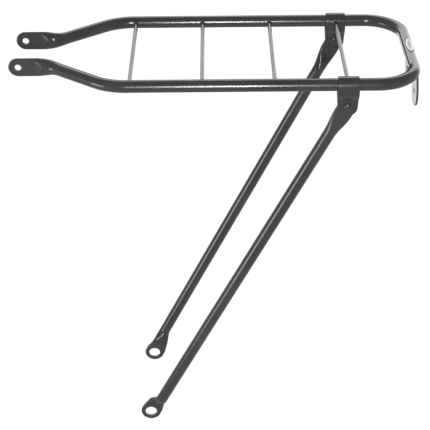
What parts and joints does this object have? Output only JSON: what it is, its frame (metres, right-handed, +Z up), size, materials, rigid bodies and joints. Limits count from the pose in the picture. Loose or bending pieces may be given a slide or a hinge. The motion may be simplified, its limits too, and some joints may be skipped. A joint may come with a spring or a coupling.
{
  "type": "bicycle rear luggage carrier",
  "caption": "Black tubular bicycle rear carrier: bent hoop with cross rods, front bolt tongues, lamp bracket and two stays that fold on rivets.",
  "frame": {"origin": "midpoint of the front bolt axis, halfway between the holes in the two front tongues", "axes": "+X along the rails towards the bicycle's rear, +Y to the bicycle's right along the bolt axis, +Z up"},
  "size_m": [0.3954, 0.1626, 0.4378],
  "materials": {
    "tube_enamel": "gloss black stove enamel on bent steel tube",
    "rod_enamel": "gloss black stove enamel on welded steel rod",
    "sheet_enamel": "gloss black stove enamel on pressed sheet and rivets",
    "badge_foil": "blank pale foil with a dark border"
  },
  "bodies": {
    "frame": {"hoop": "tube_enamel", "cross_rod_1": "rod_enamel", "cross_rod_2": "rod_enamel", "cross_rod_3": "rod_enamel", "cross_rod_4": "rod_enamel", "left_clip": "sheet_enamel", "right_clip": "sheet_enamel", "left_rivet": "sheet_enamel", "right_rivet": "sheet_enamel", "lamp_bracket": "sheet_enamel", "rear_badge_plate": "badge_foil"},
    "left_stay_body": {"left_stay": "tube_enamel"},
    "right_stay_body": {"right_stay": "tube_enamel"}
  },
  "joints": [
    {"name": "left_stay_pivot", "type": "hinge", "parent": "frame", "child": "left_stay_body", "pos_m": [0.3137, -0.0735, -0.0223], "axis": [0, 1, 0], "range_deg": [-115, 62]},
    {"name": "right_stay_pivot", "type": "hinge", "parent": "frame", "child": "right_stay_body", "pos_m": [0.3137, 0.0735, -0.0223], "axis": [0, 1, 0], "range_deg": [-115, 62]}
  ]
}
